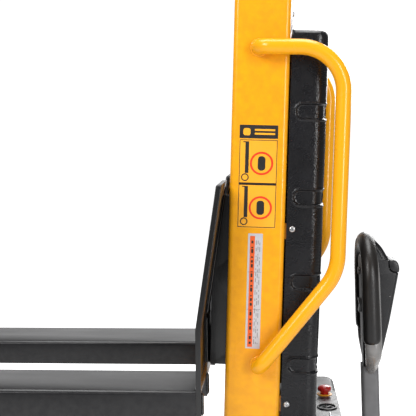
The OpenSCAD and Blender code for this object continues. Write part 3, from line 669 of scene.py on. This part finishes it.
front = piece("front_leaf_chains", both(strand(RAIL_X - CHAIN_R, FRONT_LOW, SHEAVE_Z)), CHAIN, None, MAST,
              ["front_chains"])
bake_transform(front)
rear = piece("rear_leaf_chains", both(strand(RAIL_X + CHAIN_R, REAR_LOW, SHEAVE_Z)), CHAIN, None, MAST,
             ["rear_chains"])
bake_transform(rear)
wraps = []
for k in range(8):
    turn = math.radians(180 * (k + 0.5) / 8)
    place = (Matrix.Translation((RAIL_X, 0, SHEAVE_Z)) @ Matrix.Rotation(turn - math.pi, 4, "Y")
             @ Matrix.Translation((CHAIN_R, 0, 0)))
    wraps += [moved(link(k % 2), place), moved(chain_pin(), place @ Matrix.Translation((0, 0, PITCH / 2)))]
piece("sheave_leaf_chains", both(joined(wraps)), CHAIN, "lift_piston", MAST, ["chain_wraps"])


# ---------------------------------------------------------------- hood and its panel
HOOD_X0, HOOD_X1, HOOD_Y, HOOD_LOW, HOOD_R = 473.6, 637.5, 322, 330, 30
PANEL_X = (MAST_X + COVER_X1 + HOOD_X1) / 2


def hood_ring(inset, z):
    return [(x, y, z) for x, y in rect(HOOD_X0 + inset, HOOD_X1 - inset, -HOOD_Y + inset, HOOD_Y - inset,
                                       max(HOOD_R - inset, 3), 8)]


def hood_shape():
    """A thin shell, open below, with a groove round it and a rounded top edge."""
    heights = [(0, HOOD_LOW), (0, 420), (0, 556), (0.4, 557.5), (2.2, 558.2), (2.2, 561.8), (0.4, 562.5),
               (0, 564), (0, 700), (0, 772)]
    heights += [(16 - 16 * math.cos(math.radians(a)), 774 + 16 * math.sin(math.radians(a)))
                for a in (15, 30, 45, 60, 75, 90)]
    outside = [hood_ring(i, z) for i, z in heights]
    inside = [hood_ring(i, z) for i, z in ((18, 785), (4.5, 770), (4.5, 564), (4.5, 440), (4.5, HOOD_LOW))]
    return ringed_shell(outside, inside)


piece("hood_moulding", hood_shape(), HOOD, "chassis", WORLD, ["hood"])


def louvre(length, depth=5.0, rise=9.0):
    """A rounded slat that stands off a flat wall, seen as a hooded vent."""
    section = [(0, 0), (0, rise), (depth * 0.55, rise * 0.8), (depth, rise * 0.35), (depth, 0)]
    rings = []
    for k, scale in ((0, 0.3), (0.04, 0.75), (0.1, 1), (0.9, 1), (0.96, 0.75), (1, 0.3)):
        rings.append([(length * (k - 0.5), -u * scale, v * scale) for u, v in section])
    return loft(rings)


vents = [spots(louvre(90), [(556, s * (HOOD_Y - 0.5), 400 + 17 * k) for k in range(6)], turn)
         for s, turn in ((-1, Matrix.Identity(4)), (1, Matrix.Rotation(math.pi, 4, "Z")))]
piece("hood_louvres", joined(vents), HOOD, "chassis", WORLD)

raised = loft([[(x, y, z) for x, y in rect(PANEL_X - 33 + i, PANEL_X + 33 - i, -160 + i, 160 - i, 14 - i)]
               for i, z in ((0, 789.6), (0, 790.8), (1, 791.6))])
piece("dash_plate", raised, CONTROL, "chassis", WORLD)
bezel = lathe([(27, 790), (27, 793.5), (25.5, 795), (23, 795.2), (21.5, 793.5), (21.5, 790)], 48)
AT_GAUGE = Matrix.Translation((PANEL_X, 0, 0))
AT_STOP = Matrix.Translation((PANEL_X, 120, 0))
piece("gauge_bezel", moved(bezel, AT_GAUGE), CONTROL, "chassis", WORLD, ["charge_gauge"])
disc = loft([[(x, y, z) for x, y in circle(21.8, 32)] for z in (790.5, 791.6)])
piece("gauge_face", moved(disc, AT_GAUGE), FILM_BLACK, "chassis", WORLD)
tick = loft([[(x, y, z) for x, y in ((13, -0.6), (18.5, -0.6), (18.5, 0.6), (13, 0.6))]
             for z in (791.5, 792.1)])
ticks = [moved(tick, Matrix.Rotation(math.radians(210 - 24 * k), 4, "Z")) for k in range(11)]
needle = moved(loft([[(x, y, z) for x, y in ((-4, -1.3), (15, -0.4), (15, 0.4), (-4, 1.3))]
                     for z in (792.2, 792.9)]), Matrix.Rotation(math.radians(50), 4, "Z"))
piece("gauge_marks", moved(joined(ticks + [needle]), AT_GAUGE), FILM_GREY, "chassis", WORLD)

mushroom = lathe([(0.4, 770), (11, 770), (11, 798), (12, 802), (18.2, 802.4), (19, 804), (19, 809),
                  (17.5, 812.6), (13, 815.2), (7, 816), (0.4, 816)], 48)
piece("stop_mushroom", moved(mushroom, AT_STOP), RED, "stop", WORLD, ["stop_button"])
collar = lathe([(19.5, 791), (21, 791), (21, 792.4), (19.5, 793.4), (13.5, 793.4), (13.5, 791)], 48)
piece("stop_collar", moved(collar, AT_STOP), FILM_YELLOW, "chassis", WORLD)


# ---------------------------------------------------------------- wheels
def tread(r, half, bore, crown, hub):
    """Half profile of a wheel: crowned tread, rounded shoulder and a sunk web."""
    web = (r * 0.8 + hub) / 2
    return [(bore, -half), (hub, -half), (hub * 1.08, -half * 0.72), (web, -half * 0.6),
            (r * 0.78, -half * 0.72), (r * 0.84, -half), (r - crown * 2.2, -half),
            (r - crown, -half * 0.86), (r - crown * 0.3, -half * 0.6), (r, -half * 0.25)]


def mirrored(profile):
    """Half a wheel's profile, from its bore out to its tread, with the other half added."""
    return profile + [(a, -b) for a, b in reversed(profile)]


def wheel(name, body, x, y, z, profile, node, n=64):
    """A tyre turned about y through (x, y, z)."""
    place = Matrix.Translation((x, y, z)) @ FACE_LEFT
    piece(name, moved(lathe(mirrored(profile), n), place), TYRE, body, WORLD, [node])


AXLE_X, AXLE_Z = -740.5, 37
for side, s, face in (("left", -1, FACE_LEFT), ("right", 1, FACE_RIGHT)):
    wheel(side + "_caster_tread", side + "_caster_roller", STEER_X + 70, s * 235, 50,
          tread(50, 17, 8.3, 3.0, 17), side + "_caster_wheel")
    wheel(side + "_load_tread", side + "_load_wheel", AXLE_X, s * 243, AXLE_Z,
          [(10.2, -35), (20, -35), (21, -32), (31, -32), (33, -35), (35, -34.5), (36.6, -31), (37, -24)],
          side + "_load_roller")
    nut = spots(hex_bolt(22, 7), [(AXLE_X, s * 317, AXLE_Z)], face)
    piece(side + "_axle_nut", nut, STEEL, "chassis", WORLD)
wheel("drive_tread", "drive_wheel", STEER_X, 0, 105,
      [(85.2, -37.4), (98, -37.4), (102, -36), (104.4, -32), (105, -24)], "drive_tyre", 96)


# ---------------------------------------------------------------- tiller head
ARCH_Z, GRIP_Y = 739.88, 100
loop_points = [(0, 20, -240), (0, GRIP_Y, -180), (0, GRIP_Y, GRIP_Y), (0, -GRIP_Y, GRIP_Y),
               (0, -GRIP_Y, -180), (0, -20, -240)]
loop_path = [p + Vector((0, 0, ARCH_Z)) for p in rounded_path(loop_points, [0, 40, 100, 100, 40, 0])]
PAD_END = 158  # the grips end this far below the arch's centre
PAD_SHIFT, ARCH_DEEP, ARCH_WIDE = -1.2, 21.4, 21.2  # section of the grips over the arch


def shell_section(i):
    """The hard loop's section, narrower where the grips cover it."""
    high = loop_path[i].z - ARCH_Z
    deep = lerp([(-240, 13), (-215, 17), (-180, 20.5), (-150, 21.5), (0, 20.5), (100, 20)], high)
    wide = lerp([(-240, 12), (-200, 17), (-166, 18.5), (-148, 16.5), (40, 16.5), (80, 15), (100, 15)],
                high)
    shift = lerp([(-160, 1.9), (20, 1.9), (70, 0.2), (100, -1.2)], high)
    return [(u + shift, v) for u, v in circle(deep, 28, wide)]


piece("loop_shell", sweep(loop_path, shell_section, (1, 0, 0)), SHELL, "tiller", TILLER,
      ["head_loop"], sharp=70)

pad_path = [p for p in loop_path if p.z > ARCH_Z - PAD_END]
pad_length = sum((b - a).length for a, b in zip(pad_path, pad_path[1:]))


def pad_section(i):
    """The soft grip's section, domed at its two ends."""
    along = sum((b - a).length for a, b in zip(pad_path[:i], pad_path[1:i + 1]))
    end = min(along, pad_length - along)
    high = pad_path[i].z - ARCH_Z
    dome = math.sqrt(max(0.0, 1 - max(0.0, 1 - end / 15) ** 2)) * 0.8 + 0.2
    deep = lerp([(-160, 22.2), (-120, 23.0), (-60, 22.4), (10, 21.6), (60, ARCH_DEEP), (100, ARCH_DEEP)],
                high)
    wide = lerp([(-160, 21.4), (-90, 22.3), (0, ARCH_WIDE), (100, ARCH_WIDE)], high)
    return [(u * dome + PAD_SHIFT, v * dome) for u, v in circle(deep, 36, wide)]


piece("loop_overmould", sweep(pad_path, pad_section, (1, 0, 0)), RUBBER, "tiller", TILLER,
      ["grips"], sharp=70)

# A row of small moulded dots along the front of the arch. The dots are real bumps on the dark rubber seam;
# their light grey shell colour is a painted highlight
dots = []
seam = [p for p in pad_path if p.z > ARCH_Z - 20]
dot = lathe([(0.05, -1.0), (1.1, -0.9), (1.25, 0), (1.0, 0.7), (0.5, 1.05), (0.05, 1.15)], 8)
DOT_ANGLE = math.radians(170)  # round the grip's section from its rear, so almost at its front
rearward, outward = math.cos(DOT_ANGLE), math.sin(DOT_ANGLE)
for i in range(1, len(seam) - 1):
    along = (seam[i + 1] - seam[i - 1]).normalized()
    out = along.cross(Vector((1, 0, 0))).normalized()
    spot = seam[i] + Vector((ARCH_DEEP * rearward + PAD_SHIFT, 0, 0)) + out * ARCH_WIDE * outward
    face = Vector((rearward, 0, 0)) + out * outward
    dots.append(moved(dot, Matrix.Translation(spot) @ face.to_track_quat("Z", "Y").to_matrix().to_4x4()))
# The light grey on these dots is painted highlight on the grip's knurled seam
piece("loop_seam_dots", joined(dots), SHELL, "tiller", TILLER)


# Between these heights the pod's rear is sunk, so that the belly button can slide in
NICHE_LOW, NICHE_HIGH, NICHE_DEPTH, NICHE_Y = 246.3, 280.4, 6.8, 40.6
SEAM_HIGH, SEAM_DEPTH = 281.9, 1.1  # a groove from the niche up to this height


def pod_ring(z):
    """Outline of the pod at a height over its lower end."""
    front = lerp([(0, -17), (60, -18), (286, -18), (292, -14), (296, 8), (338, 4)], z)
    rear = lerp([(0, 22), (60, 37.5), (123, 52.5), (236, 75.5), (243, 77), (246.0, 76.4), (246.6, 70),
                 (247.9, 63.6), (251.1, 57.6), (256, 53.6), (261.5, 51.6), (282, 51.5), (296, 44.5),
                 (310, 37.3), (318, 31.5), (326, 24.5), (338, 13.5)], z)
    half = lerp([(0, 29), (50, 34), (130, 40), (200, 42), (284, 42), (305, 40), (318, 37), (326, 33),
                 (338, 26)], z)
    seam = SEAM_DEPTH if NICHE_HIGH < z < SEAM_HIGH else 0.0
    in_niche = NICHE_LOW < z < NICHE_HIGH
    r = 1.0 if in_niche else min(11.0, (rear - front) / 2 - 0.4)
    back, inner = rear - seam, rear - seam - (NICHE_DEPTH if in_niche else 0.0)
    w = min(NICHE_Y, half - seam - r)
    outline = rect(front, back, seam - half, half - seam, r, 6)
    return [(x, y, z) for x, y in outline + [(back, -w), (inner, -w), (inner, w), (back, w)]]


pod_levels = [0, 8, 30, 60, 90, 118, 150, 180, 205, 225, 236, 240, 243, 245.2, 246, 246.6, 247.2, 247.9,
              249.4, 251.1, 253.4, 256, 258.6, 261.5, 270, 278, 280.3, 280.5, 281.8, 282, 288, 292, 295,
              298, 304, 309, 314, 318, 322, 326, 330, 334, 338]
piece("pod_housing", loft([pod_ring(z) for z in pod_levels]), POD_SKIN, "tiller", POD,
      ["head_pod"], sharp=50)


def crest(y):
    """A rib that runs over the pod's sloping top."""
    slope = ((51, 283), (44.5, 296), (37.3, 310), (31.5, 318), (24.5, 326), (18, 332))
    return sweep([Vector((x - 1.4, y, z)) for x, z in slope], circle(1.9, 12), (0, 1, 0))


def flank(side, inset):
    """A rib on the side of the pod, in line with its sloping top."""
    edge = ((51, 41.6, 285), (44.5, 40.4, 296), (37.3, 38.8, 310), (31.5, 36.6, 318), (24.5, 32.6, 326))
    path = [Vector((x - inset, side * y, z)) for x, y, z in edge]
    return sweep(path, circle(1.5, 12), (0, 1, 0))


ribs = [crest(y) for y in (-30, -15, 15, 30)] + [flank(s, inset) for s in (-1, 1) for inset in (1, 7, 14)]
piece("pod_ribs", joined(ribs), POD_SKIN, "tiller", POD)
marks = [loft([[(x, s * y, z) for x, z in rect(50.5, 55, 186, 187.6, 0.7, 3)] for y in (42.0, 42.5)])
         for s in (-1, 1)]
piece("pod_marks", joined(marks), FILM_LINE, "tiller", POD)


def bumper_shape():
    """The reversing button: a soft block with a rolled top rear edge."""
    side = [(52.5, 261.5), (54.5, 256.5), (58.5, 251.8), (64.5, 248.6), (71, 247.3), (76.6, 247.3),
            (78.6, 249.5), (79.4, 255), (79, 262), (77.4, 269), (74.6, 274.8), (70.6, 278.4), (66, 279.7),
            (54.5, 280), (52.5, 278.5)]
    ends = ((40, 3.4), (39.2, 1.6), (37.6, 0.5), (35, 0))
    cx, cz = 66, 265
    rings = []
    for y, pull in [(-y, pull) for y, pull in ends] + list(reversed(ends)):
        wide, tall = 1 - pull / 15, 1 - pull / 17
        rings.append([(cx + (x - cx) * wide, y, cz + (z - cz) * tall) for x, z in side])
    return loft(rings)


piece("belly_bumper", bumper_shape(), POD_SKIN, "belly_switch", POD, ["belly_button"],
      sharp=45)


def wing(s):
    """One butterfly lever of the thumb throttle."""
    rings = []
    for y, scale in ((43.5, 0.86), (45, 1), (66, 1), (69, 0.92), (70, 0.72)):
        outline = []
        for k in range(36):
            a = 2 * math.pi * k / 36
            flat = abs(math.sin(a))
            x = 11.5 * math.cos(a) * (1 - 0.42 * flat ** 1.4)
            z = 31 * math.sin(a)
            outline.append((x * scale, s * y, z * (0.35 + 0.65 * scale)))
        rings.append(outline)
    return loft(rings)


axle = loft([[(x, y, z) for x, z in circle(6, 24)] for y in (-44, 44)])
levers = moved(joined([wing(-1), wing(1), axle]), Matrix.Translation((8, 0, 200)))
piece("throttle_levers", levers, LEVER, "throttle", POD, ["throttle"], sharp=45)


# ---------------------------------------------------------------- plain labels, with no lettering
LABEL_Y = -225.0


def film(name, outlines, mat, lift=0.35, base=0.0):
    """Thin film shapes on the left face of the mast; each outline is (x, z) points."""
    shapes = [loft([[(x, y - base, z) for x, z in outline] for y in (LABEL_Y + 0.2, LABEL_Y - lift)])
              for outline in outlines]
    piece(name, joined(shapes), mat, "chassis", MAST)


def border(x0, x1, z0, z1, t):
    """The four bars of a rectangular line."""
    return [rect(x0, x1, z1 - t, z1, 0.3, 1), rect(x0, x1, z0, z0 + t, 0.3, 1),
            rect(x0, x0 + t, z0 + t, z1 - t, 0.3, 1), rect(x1 - t, x1, z0 + t, z1 - t, 0.3, 1)]


def annulus(cx, cz, r, t, n=56):
    """A thin flat ring, t wide inside its radius r."""
    rings = []
    for i in range(n):
        a = 2 * math.pi * i / n
        rings.append([(cx + q * math.cos(a), LABEL_Y - d, cz + q * math.sin(a))
                      for q, d in ((r, 0.2), (r, 0.75), (r - t, 0.75), (r - t, 0.2))])
    return ringed(rings)


film("sheet_base", [rect(20, 111.3, 367, 612, 2.5)], FILM_YELLOW)
film("sheet_header", [rect(20.4, 110.9, 580, 611.6, 1.0)], FILM_BLACK, 0.3, 0.3)
film("sheet_badge", [rect(29, 46, 587, 604, 5)] + [rect(56, 104, z, z + 4.5, 1) for z in (589, 598)],
     FILM_YELLOW, 0.3, 0.6)
film("sheet_divider", [rect(21, 110.4, 470.6, 475.2, 0.6)], FILM_BLACK, 0.3, 0.3)
for k, (z0, z1) in enumerate(((369.5, 471.6), (474.2, 577.0))):
    film("sheet_frame_%d" % k, border(21.2, 110.2, z0, z1, 1.5), FILM_BLACK, 0.3, 0.3)
    ring_z = (z0 + z1) / 2 - 4
    film("sheet_bars_%d" % k, [rect(35, 43.5, z0 + 24, z1 - 4, 1), rect(29.5, 36, z1 - 6.5, z1 - 4, 0.6),
                               rect(65, 83, ring_z - 17, ring_z + 17, 8)], FILM_BLACK, 0.25, 0.3)
    piece("sheet_wheel_%d" % k, annulus(35.5, z0 + 14, 9, 2.4), FILM_BLACK, "chassis", MAST)
    piece("sheet_ring_%d" % k, annulus(74, ring_z, 27.5, 4.6), FILM_RED, "chassis", MAST)
film("strip_base", [rect(47, 82, 77, 355, 1.5)], FILM_GREY)
film("strip_band", [rect(52, 63.5, 81, 349, 0.8)], FILM_ORANGE, 0.3, 0.3)


def dashes(column, x, width, count):
    """Uneven bars, in place of a line of print."""
    pitch = 255 / count
    out = []
    for k in range(count):
        z = 88 + pitch * k
        length = pitch * (0.5 + 0.32 * math.sin(2.4 * k + 1.7 * column))
        out.append(rect(x, x + width, z, z + length, 0.5, 2))
    return out


rules = dashes(1, 66.5, 1.6, 17) + dashes(2, 70.6, 1.6, 19) + dashes(3, 74.7, 1.6, 16)
rules += [rect(49, 80.5, z, z + 1.0, 0.4, 2) for z in (172, 262)]
film("strip_marks", dashes(0, 55.5, 4.6, 22), FILM_BLACK, 0.25, 0.6)
film("strip_rules", rules, FILM_LINE, 0.25, 0.3)


# ---------------------------------------------------------------- floor, light, camera
FLOOR_GLOW, FLOOR_HALF = 0.18, 40
GLOW_NEAR, GLOW_FAR = 1.6, 3.2


def stage_floor():
    """A pale floor that turns evenly bright away from the object, for the camera only."""
    n = Nodes("studio_floor")
    n.link(n.blend(n.span(n.noise(0.7, 3), 0, 1), (0.66, 0.66, 0.66), (0.64, 0.64, 0.645)),
           n.bsdf.inputs["Base Color"])
    n.bsdf.inputs["Roughness"].default_value = 0.9
    n.bsdf.inputs["Emission Color"].default_value = (1, 1, 1, 1)
    far = n.add("ShaderNodeVectorMath", operation="LENGTH")
    n.link(n.where, far.inputs[0])
    glow = n.span(far.outputs["Value"], FLOOR_GLOW, 1.0, GLOW_NEAR, GLOW_FAR)
    seen = n.add("ShaderNodeMapRange")
    n.link(n.add("ShaderNodeLightPath").outputs["Is Camera Ray"], seen.inputs["Value"])
    seen.inputs["To Min"].default_value = FLOOR_GLOW
    n.link(glow, seen.inputs["To Max"])
    n.link(seen.outputs["Result"], n.bsdf.inputs["Emission Strength"])
    mesh = bpy.data.meshes.new("floor")
    mesh.from_pydata([(FLOOR_HALF * x, FLOOR_HALF * y, 0) for x, y in ((-1, -1), (1, -1), (1, 1), (-1, 1))],
                     [], [(0, 1, 2, 3)])
    mesh.materials.append(n.mat)
    floor = bpy.data.objects.new("floor", mesh)
    scene.collection.objects.link(floor)


def softbox(name, where, target, size, power):
    """A rectangular light aimed at a point."""
    data = bpy.data.lights.new(name, "AREA")
    data.shape, data.size, data.size_y, data.energy = "RECTANGLE", *size, power
    lamp = bpy.data.objects.new(name, data)
    lamp.location = where
    lamp.rotation_euler = (Vector(target) - Vector(where)).to_track_quat("-Z", "Y").to_euler()
    scene.collection.objects.link(lamp)


def studio():
    """A bright backdrop for the camera, dimmer as a light, and five soft lights."""
    world = bpy.data.worlds.new("studio")
    scene.world = world
    world.use_nodes = True
    tree = world.node_tree
    back = tree.nodes["Background"]
    back.inputs["Color"].default_value = (1, 1, 1, 1)
    path, share = tree.nodes.new("ShaderNodeLightPath"), tree.nodes.new("ShaderNodeMapRange")
    share.inputs["To Min"].default_value, share.inputs["To Max"].default_value = 0.16, 1.1
    tree.links.new(path.outputs["Is Camera Ray"], share.inputs["Value"])
    tree.links.new(share.outputs["Result"], back.inputs["Strength"])
    softbox("key", (-2.0, -3.6, 3.5), (0.3, 0, 1.4), (1.8, 2.2), 125)
    softbox("fill", (2.75, -3.7, 2.1), (0.4, 0, 1.3), (0.8, 2.6), 92)
    softbox("top", (0.2, 0.2, 4.2), (0.2, 0, 0.8), (2.6, 2.6), 120)
    softbox("back", (1.8, 3.6, 2.6), (0.3, 0, 1.0), (2.2, 2.0), 90)
    softbox("backdrop", (-1.0, 3.8, 1.8), (-0.6, 0, 0.93), (3.6, 1.8), 14)


stage_floor()
studio()


def make_camera():
    """Camera at the photo's view of the object."""
    yaw, pitch, roll = 0.0753, 0.0819, -0.012
    ahead = Vector((-math.sin(yaw) * math.cos(pitch), math.cos(yaw) * math.cos(pitch), -math.sin(pitch)))
    level = Vector((math.cos(yaw), math.sin(yaw), 0))
    upright = level.cross(ahead)
    right = level * math.cos(roll) + upright * math.sin(roll)
    up = upright * math.cos(roll) - level * math.sin(roll)
    data = bpy.data.cameras.new("view")
    data.sensor_width, data.lens = 36, 75.83
    camera = bpy.data.objects.new("view", data)
    basis = Matrix((right, up, -ahead)).transposed().to_4x4()
    camera.matrix_world = Matrix.Translation((0.46345, -2.29698, 1.51447)) @ basis
    scene.collection.objects.link(camera)
    scene.camera = camera


make_camera()
scene.view_settings.view_transform = "Standard"
